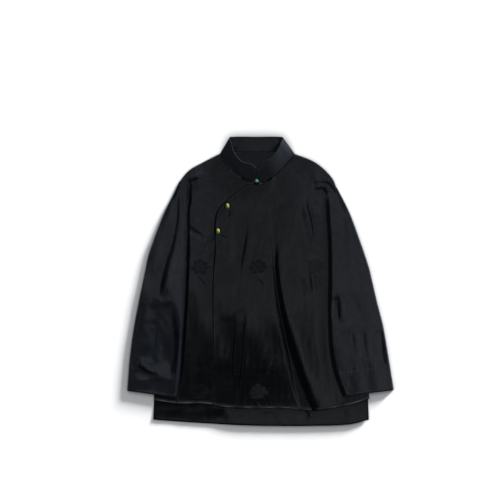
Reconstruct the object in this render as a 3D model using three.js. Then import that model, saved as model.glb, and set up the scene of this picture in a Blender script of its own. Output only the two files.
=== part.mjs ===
// A mandarin collar shirt of black jacquard satin, laid flat and face up on a table.
// Millimetres. +X is the wearer's left, +Y runs from hem to collar, +Z is up off the table.
// The tables are drawn from the lowest point of the back hem; the last lines centre the shirt.
import * as THREE from 'three';

// Driving dimensions
const satin = 1.0;          // wall of one layer of cloth
const seam = 0.3;           // room between pieces at a seam and between layers
const layer = satin + seam; // one layer of cloth and its room
const collarWall = 2.0;     // doubled and stiffened band
const lapFade = 18;         // the overlapping front settles to the back over this width
const lapReach = 34;        // reach of the hidden lap under the opening's edge
const frontPuff = 4.5;      // how far the middle of the fronts stands off the back
const sleevePuff = 4.2;     // how far the middle of a sleeve stands off its under layer
const puffFade = 26;        // width over which the fronts sink to their edges
const edgeRest = 12;        // flat margin along those edges
const hemShare = 0.4;       // share of that relief left at the front hem
const hemFade = 70;         // it grows to the whole over this height
const openingShare = 0.5;   // share left at the slanting opening
const openingFade = 25;
const lapSink = 0.6;        // share of the relief that the hidden lap keeps below the left front
const sinkFade = 8;         // width over which it sinks
const lapRoom = 0.4;        // extra room of the left front over the lap
const sleeveClimb = 10;     // run over which a sleeve climbs onto the body's side
const climbRest = 6;        // level stretch after that climb
const fullSleeve = 80;      // a sleeve this wide or wider has its whole puff
const outerSettle = 0.75;   // beyond this share of its width a sleeve sinks to its outer fold
const cordWidth = 2.4;      // thin satin cord of the frogs
const cordPerimeter = 4;    // straight sides in each quarter turn of the cord's section
const loopRoom = 1.6;       // from a bead's side to the middle of the cord looped round it
const loopPoints = 7;
const beadWidth = 10.4;
const beadLength = 13.7;
const neckBead = 11;
const beadRings = 8;
const beadSides = 14;
const tackWidth = 3.2;
const tackLength = 15;
const tackHeight = 0.8;

// How finely each stretch of an edge is divided, and each panel across
const shoulderSteps = 6;
const armholeSteps = 8;
const sideSteps = 11;
const cuffSteps = 12;
const backColumns = 8;
const frontLeftColumns = 28;
const frontRightColumns = 14;
const collarColumns = 36;
const collarRows = 4;
const hemPull = 6;          // how quickly the pull of a panel's hem dies out up the panel
const topPull = 12;         // and of its top down the panel

const looks = {
  satin: { color: 0x1c1d21, roughness: 0.42, metalness: 0 },
  cord: { color: 0x0c0c0e, roughness: 0.6, metalness: 0 },
  jade: { color: 0x30775a, roughness: 0.12, metalness: 0 },
  glass: { color: 0x7f9a45, roughness: 0.12, metalness: 0 },
};

// A table with named columns: one object for each row
function table(columns, ...rows) {
  const names = columns.split(' ');
  return rows.map((row) => Object.fromEntries(names.map((name, i) => [name, row[i]])));
}

// An edge of the cut: an even walk along a smooth curve through the rows of its table
function edge(steps, ...rows) {
  const points = table('x y', ...rows).map(({ x, y }) => new THREE.Vector3(x, y, 0));
  return new THREE.CatmullRomCurve3(points, false, 'centripetal').getSpacedPoints(steps);
}

// Several edges end to end, each starting where the last one stopped
function chain(...edges) {
  return edges.flatMap((points, i) => (i ? points.slice(1) : points));
}

function shifted(points, dx) {
  return points.map((p) => new THREE.Vector3(p.x + dx, p.y, p.z));
}

function smooth(t) {
  return THREE.MathUtils.smoothstep(t, 0, 1);
}

// Edges of the cut, as they lie. Right and left are the wearer's.
const neckRight = edge(shoulderSteps, [-97, 664], [-79, 636], [-48, 610], [-21, 600], [-11, 598]);
const neckLeft = edge(shoulderSteps, [81, 664], [57, 636], [26, 607], [5, 599], [-11, 598]);
const neckBack = edge(backColumns, [-100, 665], [-58, 669], [-8, 670], [42, 669], [84, 665]);
const shoulderRight = edge(shoulderSteps, [-100, 665], [-138, 646], [-173, 626], [-190, 608], [-197, 596.5]);
const shoulderLeft = edge(shoulderSteps, [84, 665], [129, 647], [155, 628], [177, 602.5], [185, 583.5]);
const armholeRight = edge(armholeSteps, [-197, 596.5], [-190, 542], [-195, 480], [-218, 419], [-251, 376]);
const armholeLeft = edge(armholeSteps, [185, 583.5], [180, 530], [184, 475], [205, 415], [249, 369]);
const sideRight = edge(sideSteps, [-251, 376], [-256, 250], [-261, 61]);
const sideLeft = edge(sideSteps, [249, 369], [257, 230], [266, 66]);
const sideBackRight = edge(sideSteps, [-251, 376], [-256, 250], [-262, 15]);
const sideBackLeft = edge(sideSteps, [249, 369], [257, 230], [265, 15]);
const opening = edge(armholeSteps, [-11, 598], [-41, 584], [-79, 554], [-105, 525], [-111, 490], [-111, 424]);
const lapEdge = edge(armholeSteps, [-11, 598], [-22, 570], [-52, 545], [-76, 508], [-82, 465], [-112, 432]);
const frontSeam = edge(sideSteps, [-111, 424], [-116, 356], [-116, 200], [-116, 50]);
const hemRight = edge(frontRightColumns, [-261, 61], [-205, 53], [-148, 53], [-116, 50]);
const hemLeft = edge(frontLeftColumns, [-116, 50], [-99, 45], [-18, 41], [56, 41], [124, 36], [170, 41],
  [231, 53], [266, 66]);
const hemBack = edge(backColumns, [-262, 15], [-197, 10], [-26, 1], [121, 0], [219, 4], [265, 15]);

// Each sleeve as it lies: outer fold, inner fold and underarm seam, from the armhole to the cuff
const sleeveRight = {
  armhole: armholeRight,
  side: chain(armholeRight, sideBackRight),
  outer: chain(
    edge(armholeSteps, [-198.5, 597], [-212, 567], [-232, 528], [-256, 469], [-276, 410], [-281, 384]),
    edge(cuffSteps, [-281, 384], [-298, 303], [-310, 239], [-320, 165], [-326, 86])),
  inner: chain(
    edge(armholeSteps, [-188, 594], [-183, 565], [-182, 524], [-182, 450], [-184, 372]),
    edge(cuffSteps, [-184, 372], [-188, 290], [-194, 190], [-198, 133], [-206, 70])),
  underarm: edge(cuffSteps, [-251, 376], [-243, 300], [-228, 180], [-215, 71]),
};
const sleeveLeft = {
  armhole: armholeLeft,
  side: chain(armholeLeft, sideBackLeft),
  outer: chain(
    edge(armholeSteps, [187.5, 583], [200, 557], [219, 518], [241, 459], [258, 410], [267, 381]),
    edge(cuffSteps, [267, 381], [285, 303], [300, 244], [312, 175], [326, 88])),
  inner: chain(
    edge(armholeSteps, [172, 584], [161, 562], [161, 516], [165, 450], [166, 368]),
    edge(cuffSteps, [166, 368], [165, 290], [168, 198], [179, 133], [201, 72])),
  underarm: edge(cuffSteps, [249, 369], [240, 300], [225, 180], [210, 73]),
};

// Creases: a smooth run through four points, half width at each end, height above or below the cloth
const creaseColumns = 'x1 y1 x2 y2 x3 y3 x4 y4 startWidth endWidth rise';
const frontCreases = table(creaseColumns,
  [30, 565, 36, 400, 56, 273, 131, 45, 7, 13, -7.5],      // long fold from chest to hem
  [52, 340, 76, 262, 105, 165, 146, 55, 8, 12, 4.5],      // the ridge beside it
  [-69, 252, -66, 180, -66, 120, -70, 45, 6, 9, -4.5],    // pair of folds near the opening seam
  [-47, 248, -45, 180, -46, 120, -50, 50, 5, 8, -4],
  [-57, 230, -55, 170, -56, 110, -60, 50, 5, 6, 2.5],     // the cloth pinched up between them
  [-43, 480, -42, 450, -41, 420, -40, 385, 8, 8, -1.8],
  [119, 560, 131, 459, 122, 398, 126, 330, 9, 9, -2.6],   // soft fold on the wearer's left chest
  [-184, 492, -172, 486, -158, 478, -142, 464, 6, 9, -1.6],
  [150, 300, 148, 220, 150, 140, 156, 80, 10, 12, 2.2]);  // swell beside the left sleeve
const sleeveCreases = table(creaseColumns,
  [-197, 530, -206, 470, -224, 400, -241, 325, 8, 9, -2.6],
  [-212, 240, -212, 200, -211, 160, -208, 128, 11, 11, -2.2],
  [-283, 212, -284, 198, -284, 184, -284, 168, 6, 6, -1.4],
  [-288, 142, -280, 141, -272, 137, -266, 130, 5, 5, -1.6],
  [196, 308, 197, 290, 198, 272, 199, 258, 6, 6, -2],
  [226, 250, 229, 225, 233, 195, 236, 165, 8, 8, -1.8],
  [262, 250, 268, 220, 274, 190, 279, 160, 8, 8, -1.6]);

function creaseCurve(crease) {
  const points = [1, 2, 3, 4].map((i) => new THREE.Vector3(crease[`x${i}`], crease[`y${i}`], 0));
  return new THREE.CatmullRomCurve3(points, false, 'centripetal').getSpacedPoints(20);
}

// Height that a table of creases adds at a place on the cloth
function creasesOf(rows) {
  const creases = rows.map((row) => ({ ...row, run: creaseCurve(row) }));
  return (x, y) => creases.reduce((height, { run, startWidth, endWidth, rise }) => {
    const { distance, along } = nearest(run, x, y);
    const width = THREE.MathUtils.lerp(startWidth, endWidth, along);
    const ends = smooth(along / 0.2) * smooth((1 - along) / 0.08 + 0.35);
    return height + rise * ends * Math.exp(-((distance / width) ** 2));
  }, 0);
}

// Distance from a place to a line of points, and how far along the line the nearest place is
function nearest(points, x, y) {
  let best = { distance: Infinity, along: 0 };
  for (let i = 0; i + 1 < points.length; i += 1) {
    const a = points[i];
    const b = points[i + 1];
    const span = (b.x - a.x) ** 2 + (b.y - a.y) ** 2;
    const t = THREE.MathUtils.clamp(((x - a.x) * (b.x - a.x) + (y - a.y) * (b.y - a.y)) / span, 0, 1);
    const distance = Math.hypot(a.x + (b.x - a.x) * t - x, a.y + (b.y - a.y) * t - y);
    if (distance < best.distance) best = { distance, along: (i + t) / (points.length - 1) };
  }
  return best;
}

// Where a line of points that runs down the shirt lies at a height y
function xAt(points, y) {
  const i = Math.min(Math.max(points.findIndex((p) => p.y <= y), 1), points.length - 1);
  const [a, b] = [points[i - 1], points[i]];
  return THREE.MathUtils.lerp(a.x, b.x, THREE.MathUtils.clamp((a.y - y) / (a.y - b.y), 0, 1));
}

// How far the fronts stand off the back: full in the open, nothing at seams and under the sleeves
const frontCreaseHeight = creasesOf(frontCreases);
const stillEdges = [neckRight, neckLeft, shoulderRight, shoulderLeft, sleeveRight.inner, sleeveLeft.inner];
const hemFront = chain(hemRight, hemLeft);

function frontRelief(x, y) {
  const underSleeve = y < sleeveRight.inner[0].y
    && (x < xAt(sleeveRight.inner, y) || x > xAt(sleeveLeft.inner, y));
  if (underSleeve) return 0;
  const clear = Math.min(...stillEdges.map((points) => nearest(points, x, y).distance));
  const free = smooth((clear - edgeRest) / puffFade);
  const aboveHem = nearest(hemFront, x, y).distance;
  const besideOpening = nearest(opening, x, y).distance;
  const nearHem = THREE.MathUtils.lerp(hemShare, 1, smooth(aboveHem / hemFade));
  const nearOpening = THREE.MathUtils.lerp(openingShare, 1, smooth(besideOpening / openingFade));
  return free * nearHem * nearOpening * Math.max(0, frontPuff + frontCreaseHeight(x, y));
}

// The left front is lifted where it lies on the hidden lap of the right front
function lapLift(x, y) {
  return (layer + lapRoom) * (1 - smooth((nearest(opening, x, y).distance - lapReach) / lapFade));
}

// Underside of each flat panel. The hidden lap sinks a little away from the front above it.
const openingAndSeam = chain(opening, frontSeam);
const isLeft = (x, y) => y > opening[0].y || x > xAt(openingAndSeam, y);
const underBack = () => 0;
const underFrontLeft = (x, y) => layer + frontRelief(x, y) + lapLift(x, y);

function underFrontRight(x, y) {
  const under = isLeft(x, y) ? smooth(nearest(opening, x, y).distance / sinkFade) : 0;
  return layer + frontRelief(x, y) * (1 - lapSink * under);
}

// A closed solid between two sheets of points with the same rows and columns
function wallBetween(over, under) {
  const rows = over.length;
  const columns = over[0].length;
  const corner = (sheet, r, c) => (sheet * rows + r) * columns + c;
  const faces = [];
  const quad = (a, b, c, d) => faces.push([a, b, c], [a, c, d]);
  for (let r = 0; r + 1 < rows; r += 1) {
    for (let c = 0; c + 1 < columns; c += 1) {
      quad(corner(0, r, c), corner(0, r + 1, c), corner(0, r + 1, c + 1), corner(0, r, c + 1));
      quad(corner(1, r, c), corner(1, r, c + 1), corner(1, r + 1, c + 1), corner(1, r + 1, c));
    }
    const last = columns - 1;
    quad(corner(0, r, 0), corner(1, r, 0), corner(1, r + 1, 0), corner(0, r + 1, 0));
    quad(corner(0, r, last), corner(0, r + 1, last), corner(1, r + 1, last), corner(1, r, last));
  }
  for (let c = 0; c + 1 < columns; c += 1) {
    const last = rows - 1;
    quad(corner(0, 0, c), corner(0, 0, c + 1), corner(1, 0, c + 1), corner(1, 0, c));
    quad(corner(1, last, c), corner(1, last, c + 1), corner(0, last, c + 1), corner(0, last, c));
  }
  const points = [...over.flat(), ...under.flat()];
  const volume = faces.reduce((sum, [a, b, c]) => sum
    + points[a].dot(new THREE.Vector3().crossVectors(points[b], points[c])), 0);
  const outward = volume > 0 ? faces : faces.map(([a, b, c]) => [a, c, b]);
  const geometry = new THREE.BufferGeometry().setFromPoints(points);
  geometry.setIndex(outward.flat());
  geometry.computeVertexNormals();
  return geometry;
}

// A flat panel: lofted between its two long edges, with its top and hem drawn to their own curves
function panel(leftEdge, rightEdge, columns, underside, hem, top = null) {
  const rows = leftEdge.length - 1;
  const end = (curve, a, b, c) => {
    const straight = a.clone().lerp(b, c / columns);
    return curve[c].clone().sub(straight);
  };
  const plan = leftEdge.map((a, r) => Array.from({ length: columns + 1 }, (_, c) => {
    const point = a.clone().lerp(rightEdge[r], c / columns);
    const down = r / rows;
    point.addScaledVector(end(hem, leftEdge[rows], rightEdge[rows], c), down ** hemPull);
    if (top) point.addScaledVector(end(top, leftEdge[0], rightEdge[0], c), (1 - down) ** topPull);
    return point;
  }));
  const raised = (extra) => plan.map((row) => row.map(({ x, y }) => (
    new THREE.Vector3(x, y, underside(x, y) + extra))));
  return wallBetween(raised(satin), raised(0));
}

// A sheet of points given a wall, half to each side
function thickened(sheet, wall) {
  const difference = (a, b) => new THREE.Vector3().subVectors(a, b);
  const offset = (side) => sheet.map((row, r) => row.map((point, c) => {
    const along = difference(sheet[Math.min(r + 1, sheet.length - 1)][c], sheet[Math.max(r - 1, 0)][c]);
    const across = difference(row[Math.min(c + 1, row.length - 1)], row[Math.max(c - 1, 0)]);
    const normal = new THREE.Vector3().crossVectors(across, along).normalize();
    return point.clone().addScaledVector(normal, side * wall / 2);
  }));
  return wallBetween(offset(1), offset(-1));
}

// One sleeve: a single sheet that starts at the front armhole, runs under itself to the inner fold,
// back over the top to the outer fold, and under again to the back armhole or the underarm seam
const lowLevel = satin / 2;               // middle of the wall of the layer on the table
const foldLevel = 2 * layer + satin / 2;  // of the layer that lies on the fronts
const topLevel = foldLevel + layer;       // of the upper layer above it
const sleeveCreaseHeight = creasesOf(sleeveCreases);
const topStations = [0.04, 0.1, 0.19, 0.3, 0.42, 0.54, 0.66, 0.78, 0.88, 0.95];

function sleeveSection(sleeve, row) {
  const outer = sleeve.outer[row];
  const inner = sleeve.inner[row];
  const low = row >= armholeSteps;
  const seamPoint = low ? sleeve.underarm[row - armholeSteps] : sleeve.armhole[row];
  const span = inner.clone().sub(outer);
  const width = span.length();
  const across = span.divideScalar(width);
  const reach = (point) => point.clone().sub(outer).dot(across);
  const place = (distance, z) => outer.clone().addScaledVector(across, distance).setZ(z);
  const rowY = THREE.MathUtils.lerp(outer.y, inner.y, 0.4);
  const bodyEdge = low ? (xAt(sleeve.side, rowY) - outer.x) / across.x : reach(seamPoint);
  const points = [];

  // under layer, from the front of the armhole to the inner fold
  const foldRadius = (topLevel - foldLevel) / 2;
  const frontStart = seamPoint.clone().addScaledVector(across, seam / 2);
  const foldEnd = place(width - foldRadius, 0);
  for (const f of [0, 0.33, 0.67, 1]) points.push(frontStart.clone().lerp(foldEnd, f).setZ(foldLevel));
  for (const turn of [-Math.PI / 4, 0, Math.PI / 4]) {
    points.push(place(width - foldRadius + foldRadius * Math.cos(turn),
      foldLevel + foldRadius * (1 + Math.sin(turn))));
  }

  // over the top, puffed up in the middle
  const edgeRadius = layer;
  const edgeLevel = lowLevel + 2 * edgeRadius;
  const room = Math.min(1, width / fullSleeve);
  points.push(place(width - foldRadius, topLevel));
  for (const f of topStations) {
    const distance = THREE.MathUtils.lerp(width - foldRadius, edgeRadius, f);
    const { x, y } = place(distance, 0);
    const settle = THREE.MathUtils.lerp(topLevel, edgeLevel, smooth((f - outerSettle) / (1 - outerSettle)));
    const puff = sleevePuff * Math.sin(Math.PI * f) ** 0.6;
    points.push(place(distance, settle + room * Math.max(0, puff + sleeveCreaseHeight(x, y))));
  }
  points.push(place(edgeRadius, edgeLevel));
  for (const turn of [Math.PI / 4, 0, -Math.PI / 4]) {
    points.push(place(edgeRadius - edgeRadius * Math.cos(turn),
      lowLevel + edgeRadius * (1 + Math.sin(turn))));
  }

  // lower layer, flat on the table, climbing onto the body's side below the armhole
  const climb = low ? 1 : 0;
  const footLeast = THREE.MathUtils.lerp(edgeRadius, bodyEdge, 0.4);
  const headLeast = THREE.MathUtils.lerp(edgeRadius, bodyEdge, 0.7);
  const foot = Math.max(bodyEdge - sleeveClimb - climbRest, footLeast);
  const head = Math.max(bodyEdge - climbRest, headLeast);
  const backEnd = seamPoint.clone().addScaledVector(across, low ? -seam / 2 : -1.5 * seam);
  const end = reach(backEnd);
  const lift = (level) => THREE.MathUtils.lerp(lowLevel, foldLevel, climb * level);
  points.push(place(edgeRadius, lowLevel));
  points.push(place((edgeRadius + foot) / 2, lowLevel));
  points.push(place(foot, lowLevel));
  points.push(place(head, lift(1)));
  points.push(place((head + end) / 2, lift(1)));
  points.push(backEnd.setZ(lift(1)));
  return points;
}

function sleeveShell(sleeve) {
  return thickened(sleeve.outer.map((_, row) => sleeveSection(sleeve, row)), satin);
}

// Collar band: foot on the neckline and top edge, from the right end round the back to the left end
const collarStations = table('footX footY footZ topX topY topZ bow',
  [-12.5, 599, 3.5, -12.5, 630, 24, 1],
  [-30, 603, 3.5, -26, 640, 26, 1.5],
  [-48, 611, 3.5, -42, 643, 27, 2],
  [-66, 624, 3.5, -56, 655, 27, 2],
  [-82, 642, 3.5, -66, 672, 26, 2],
  [-93, 658, 3.5, -71, 690, 24, 2],
  [-98, 666, 3.2, -75, 704, 18, 1],
  [-86, 669, 2.4, -66, 706, 15, 0],
  [-8, 671, 2.4, -9, 706, 15, 0],
  [70, 669, 2.4, 45, 706, 15, 0],
  [82, 666, 3.2, 54, 704, 18, 1],
  [77, 658, 3.5, 50, 693, 24, 2],
  [66, 645, 3.5, 44, 680, 26, 2],
  [50, 628, 3.5, 34, 664, 27, 2],
  [33, 612, 4.1, 20, 651, 27, 2],
  [14, 602, 4.9, 3, 641, 26, 1.5],
  [-8.5, 599, 5, -8, 625, 23, 1]);

function collarBand() {
  const path = (x, y, z) => new THREE.CatmullRomCurve3(
    collarStations.map((row) => new THREE.Vector3(row[x], row[y], row[z])), false, 'centripetal');
  const foot = path('footX', 'footY', 'footZ');
  const top = path('topX', 'topY', 'topZ');
  const sheet = Array.from({ length: collarRows + 1 }, (_, r) => (
    Array.from({ length: collarColumns + 1 }, (__, c) => {
      const along = c / collarColumns;
      const station = along * (collarStations.length - 1);
      const { bow } = collarStations[Math.round(station)];
      const up = r / collarRows;
      const point = foot.getPoint(along).lerp(top.getPoint(along), up);
      return point.setZ(point.z + bow * Math.sin(Math.PI * up));
    })));
  return thickened(sheet, collarWall);
}

// Top of the fronts at a place, the higher one where they overlap
function topOfFronts(x, y) {
  return (isLeft(x + cordWidth, y) ? underFrontLeft(x, y) : underFrontRight(x, y)) + satin;
}

// A cord through points in plan, lying on the fronts
function cord(steps, ...rows) {
  const room = cordWidth / 2 + 2 * seam;
  const points = table('x y', ...rows).map(({ x, y }) => new THREE.Vector3(x, y, topOfFronts(x, y) + room));
  const section = new THREE.Shape().absarc(0, 0, cordWidth / 2, 0, 2 * Math.PI);
  const extrudePath = new THREE.CatmullRomCurve3(points, false, 'centripetal');
  return new THREE.ExtrudeGeometry(section, { steps, extrudePath, curveSegments: cordPerimeter });
}

// The loop round a bead, from one side of its foot to the other
function loop(bead, from, to) {
  const rows = Array.from({ length: loopPoints }, (_, i) => {
    const turn = THREE.MathUtils.degToRad(THREE.MathUtils.lerp(from, to, i / (loopPoints - 1)));
    return [bead.x + (bead.width / 2 + loopRoom) * Math.cos(turn),
      bead.y + (bead.length / 2 + loopRoom) * Math.sin(turn)];
  });
  return cord(2 * loopPoints, ...rows);
}

function beadShape({ width, length }) {
  const half = Array.from({ length: beadRings + 1 }, (_, i) => {
    const turn = Math.PI * (i / beadRings - 0.5);
    return new THREE.Vector2(i % beadRings ? width / 2 * Math.cos(turn) : 0, length / 2 * Math.sin(turn));
  });
  return new THREE.LatheGeometry(half, beadSides);
}

const beads = table('name x y width length lift look',
  ['bead_neck', -10, 598, neckBead, neckBead, 2.2, 'jade'],
  ['bead_upper', -81, 537, beadWidth, beadLength, 0, 'glass'],
  ['bead_lower', -104, 476, beadWidth, beadLength, 0, 'glass']);

const shirt = new THREE.Group();

function add(name, geometry, look, x = 0, y = 0, z = 0) {
  const mesh = new THREE.Mesh(geometry, new THREE.MeshStandardMaterial(looks[look]));
  mesh.name = name;
  mesh.position.set(x, y, z);
  shirt.add(mesh);
}

add('back', panel(chain(shoulderRight, armholeRight, sideBackRight),
  chain(shoulderLeft, armholeLeft, sideBackLeft), backColumns, underBack, hemBack, neckBack), 'satin');
add('front_right', panel(chain(shoulderRight, armholeRight, sideRight),
  shifted(chain(neckRight, lapEdge, frontSeam), -seam), frontRightColumns, underFrontRight,
  shifted(hemRight, -seam)), 'satin');
add('front_left', panel(chain(neckLeft, opening, frontSeam),
  chain(shoulderLeft, armholeLeft, sideLeft), frontLeftColumns, underFrontLeft, hemLeft), 'satin');
add('sleeve_right', sleeveShell(sleeveRight), 'satin');
add('sleeve_left', sleeveShell(sleeveLeft), 'satin');
add('collar', collarBand(), 'satin');

for (const bead of beads) {
  const z = topOfFronts(bead.x, bead.y) + bead.width / 2 + 2 * seam + bead.lift;
  add(bead.name, beadShape(bead), bead.look, bead.x, bead.y, z);
}
const [neckBeadPlace, upperBead, lowerBead] = beads;
add('loop_neck', loop(neckBeadPlace, 200, 340), 'cord');
add('loop_upper', loop(upperBead, 230, -20), 'cord');
add('loop_lower', loop(lowerBead, 230, -20), 'cord');
add('stem_neck_right', cord(10, [-20, 597.5], [-32, 600.5], [-48, 608]), 'cord');
add('stem_neck_left', cord(10, [1, 596], [14, 598], [29, 605.5]), 'cord');
add('stem_upper', cord(8, [-76, 526.5], [-75, 519], [-79, 511]), 'cord');
add('stem_lower', cord(8, [-97, 466], [-91, 464.5], [-85, 462]), 'cord');

const tackShape = new THREE.BoxGeometry(tackWidth, tackLength, tackHeight);
const tackPlace = { x: -110, y: 431 };
add('tack', tackShape, 'cord', tackPlace.x, tackPlace.y,
  topOfFronts(tackPlace.x + tackWidth, tackPlace.y) + 2 * seam + tackHeight / 2);

// Centre the shirt over the origin, resting on z = 0
shirt.updateMatrixWorld(true);
const reach = new THREE.Box3().setFromObject(shirt);
const middle = reach.getCenter(new THREE.Vector3());
shirt.position.set(-middle.x, -middle.y, -reach.min.z);

export default shirt;
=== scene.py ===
import bpy
import bmesh
import math
import numpy as np
from mathutils import Matrix, Vector


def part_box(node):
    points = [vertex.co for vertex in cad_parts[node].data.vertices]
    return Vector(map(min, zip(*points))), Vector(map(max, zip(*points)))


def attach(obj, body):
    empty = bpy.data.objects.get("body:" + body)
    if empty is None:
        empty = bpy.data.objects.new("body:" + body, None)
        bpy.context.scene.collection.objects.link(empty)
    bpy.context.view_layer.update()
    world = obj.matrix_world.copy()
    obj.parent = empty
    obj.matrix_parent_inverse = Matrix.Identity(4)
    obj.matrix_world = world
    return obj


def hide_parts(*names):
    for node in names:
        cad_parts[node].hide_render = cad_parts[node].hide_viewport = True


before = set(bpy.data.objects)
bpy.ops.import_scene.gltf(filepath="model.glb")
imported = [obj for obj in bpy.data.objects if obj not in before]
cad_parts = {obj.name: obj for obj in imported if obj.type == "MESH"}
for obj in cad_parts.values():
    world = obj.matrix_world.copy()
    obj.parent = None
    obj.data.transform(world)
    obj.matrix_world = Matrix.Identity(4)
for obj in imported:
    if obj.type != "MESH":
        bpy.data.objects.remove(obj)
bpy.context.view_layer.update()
print("frame loaded")

mm = 0.001
tableX, tableY = 0.0, -0.3531       # where the origin of the tables below lies in the frame


def smooth(t):
    t = np.clip(t, 0, 1)
    return t * t * (3 - 2 * t)


def mixed(a, b, t):
    return a + (b - a) * t


def stretchesThrough(points, count, endpoint=True):
    # a smooth centripetal curve through a few points, as one stretch of points between each two of them
    p = np.vstack([2 * points[0] - points[1], points, 2 * points[-1] - points[-2]])
    stretches = []
    for a, b, c, d in zip(p, p[1:], p[2:], p[3:]):
        gaps = [np.linalg.norm(b - a), np.linalg.norm(c - b), np.linalg.norm(d - c)]
        k = np.concatenate([[0], np.cumsum(np.maximum(gaps, 1e-6) ** 0.5)])
        t = np.linspace(k[1], k[2], count, endpoint=endpoint)[:, None]
        ab = mixed(a, b, t / k[1])
        bc = mixed(b, c, (t - k[1]) / (k[2] - k[1]))
        cd = mixed(c, d, (t - k[2]) / (k[3] - k[2]))
        abc = mixed(ab, bc, t / k[2])
        bcd = mixed(bc, cd, (t - k[1]) / (k[3] - k[1]))
        stretches.append(mixed(abc, bcd, (t - k[1]) / (k[2] - k[1])))
    return stretches


def sampled(walk, pace, places):
    return np.stack([np.interp(places, pace, walk[:, i]) for i in range(walk.shape[1])], axis=1)


def curveThrough(points, count):
    # evenly spaced points on a smooth curve through a few given ones
    walk = np.vstack(stretchesThrough(np.array(points, float), 24))
    steps = np.linalg.norm(np.diff(walk, axis=0), axis=1)
    along = np.concatenate([[0], np.cumsum(steps)])
    return sampled(walk, along, np.linspace(0, along[-1], count + 1))


def chain(*edges):
    return np.vstack([edges[0]] + [edge[1:] for edge in edges[1:]])


def nearest(line, x, y):
    # distance from every place to a line of points, how far along it that is, and its side (+ is left)
    best = np.full(x.shape, 1e9)
    where, side = np.zeros(x.shape), np.zeros(x.shape)
    for i, (a, b) in enumerate(zip(line, line[1:])):
        dx, dy = b - a
        t = np.clip(((x - a[0]) * dx + (y - a[1]) * dy) / (dx * dx + dy * dy), 0, 1)
        d = np.hypot(a[0] + dx * t - x, a[1] + dy * t - y)
        closer = d < best
        best = np.where(closer, d, best)
        where = np.where(closer, (i + t) / (len(line) - 1), where)
        side = np.where(closer, np.sign(dx * (y - a[1]) - dy * (x - a[0])), side)
    return best, where, side


def xAt(line, y):
    return np.interp(-y, -line[:, 1], line[:, 0])


def waves(x, y, size, seed):
    # soft uneven swells, the same on every run
    random = np.random.RandomState(seed)
    total = np.zeros(np.broadcast(x, y).shape)
    for _ in range(7):
        turn = random.uniform(0, 2 * math.pi)
        pace = 2 * math.pi / (size * random.uniform(0.7, 1.5))
        phase = random.uniform(0, 2 * math.pi)
        total += np.sin((x * math.cos(turn) + y * math.sin(turn)) * pace + phase)
    return total / 7


# Edges of the cut, in millimetres. Right and left are the wearer's.
fine = 9        # rows of the mesh for each row of the solids
shoulderRows, armholeRows, sideRows, cuffRows = 6 * fine, 8 * fine, 11 * fine, 12 * fine

neckRight = [(-95, 666), (-77, 638), (-46, 612.5), (-20, 602), (-11, 598)]
neckLeft = [(79, 666), (55, 638), (24, 609.5), (4, 601), (-11, 598)]
neckBack = [(-100, 665), (-58, 671), (-8, 673), (42, 671), (84, 665)]
shoulderRight = [(-100, 665), (-138, 646), (-173, 626), (-190, 608), (-197, 596.5)]
shoulderLeft = [(84, 665), (129, 647), (155, 628), (177, 602.5), (185, 583.5)]
armholeRight = [(-197, 596.5), (-190, 542), (-195, 480), (-218, 419), (-251, 376)]
armholeLeft = [(185, 583.5), (180, 530), (184, 475), (205, 415), (249, 369)]
sideRight = [(-251, 376), (-256, 250), (-261, 61)]
sideLeft = [(249, 369), (257, 230), (266, 66)]
sideBackRight = [(-251, 376), (-256, 250), (-262, 15)]
sideBackLeft = [(249, 369), (257, 230), (265, 15)]
opening = [(-11, 598), (-41, 584), (-79, 554), (-105, 525), (-111, 490), (-111, 424)]
lapEdge = [(-11, 598), (-22, 570), (-52, 545), (-76, 508), (-82, 465), (-112, 432)]
frontSeam = [(-111, 424), (-116, 356), (-116, 200), (-116, 50)]
hemRight = [(-261, 61), (-205, 53), (-148, 53), (-116, 50)]
hemLeft = [(-116, 50), (-99, 45), (-18, 41), (56, 41), (124, 36), (170, 41), (231, 53), (266, 66)]
hemBack = [(-262, 15), (-197, 10), (-26, 1), (121, 0), (219, 4), (265, 15)]

sleeveShapes = {
    "sleeve_right": {
        "armhole": armholeRight, "side": sideBackRight,
        "outerTop": [(-198.5, 597), (-212, 567), (-232, 528), (-256, 469), (-276, 410), (-281, 384)],
        "outerLow": [(-281, 384), (-298, 303), (-310, 239), (-320, 165), (-326, 86)],
        "innerTop": [(-188, 594), (-183, 565), (-182, 524), (-182, 450), (-184, 372)],
        "innerLow": [(-184, 372), (-188, 290), (-194, 190), (-198, 133), (-206, 70)],
        "innerBank": 5, "innerHeight": (1.2, 4.4), "innerHead": 20,
        "underarm": [(-251, 376), (-243, 300), (-228, 180), (-215, 71)],
    },
    "sleeve_left": {
        "armhole": armholeLeft, "side": sideBackLeft,
        "outerTop": [(186, 583.5), (200, 557), (219, 518), (241, 459), (258, 410), (267, 381)],
        "outerLow": [(267, 381), (285, 303), (300, 244), (312, 175), (326, 88)],
        "innerTop": [(172, 584), (161, 562), (161, 516), (165, 450), (166, 368)],
        "innerLow": [(166, 368), (165, 290), (168, 198), (179, 133), (201, 72)],
        "innerBank": 10, "innerHeight": (5.0, 4.5), "innerHead": 45,
        "underarm": [(249, 369), (240, 300), (225, 180), (210, 73)],
    },
}


def crease(*points, lip, fall=5.0, runOut=1.5):
    # points of x, y, half width and depth; on the right of the walk the cloth falls over "fall" half widths,
    # and on the left it climbs steeply to a lip, a share of the depth high, which runs out beyond it
    return points, lip, fall, runOut


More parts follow.
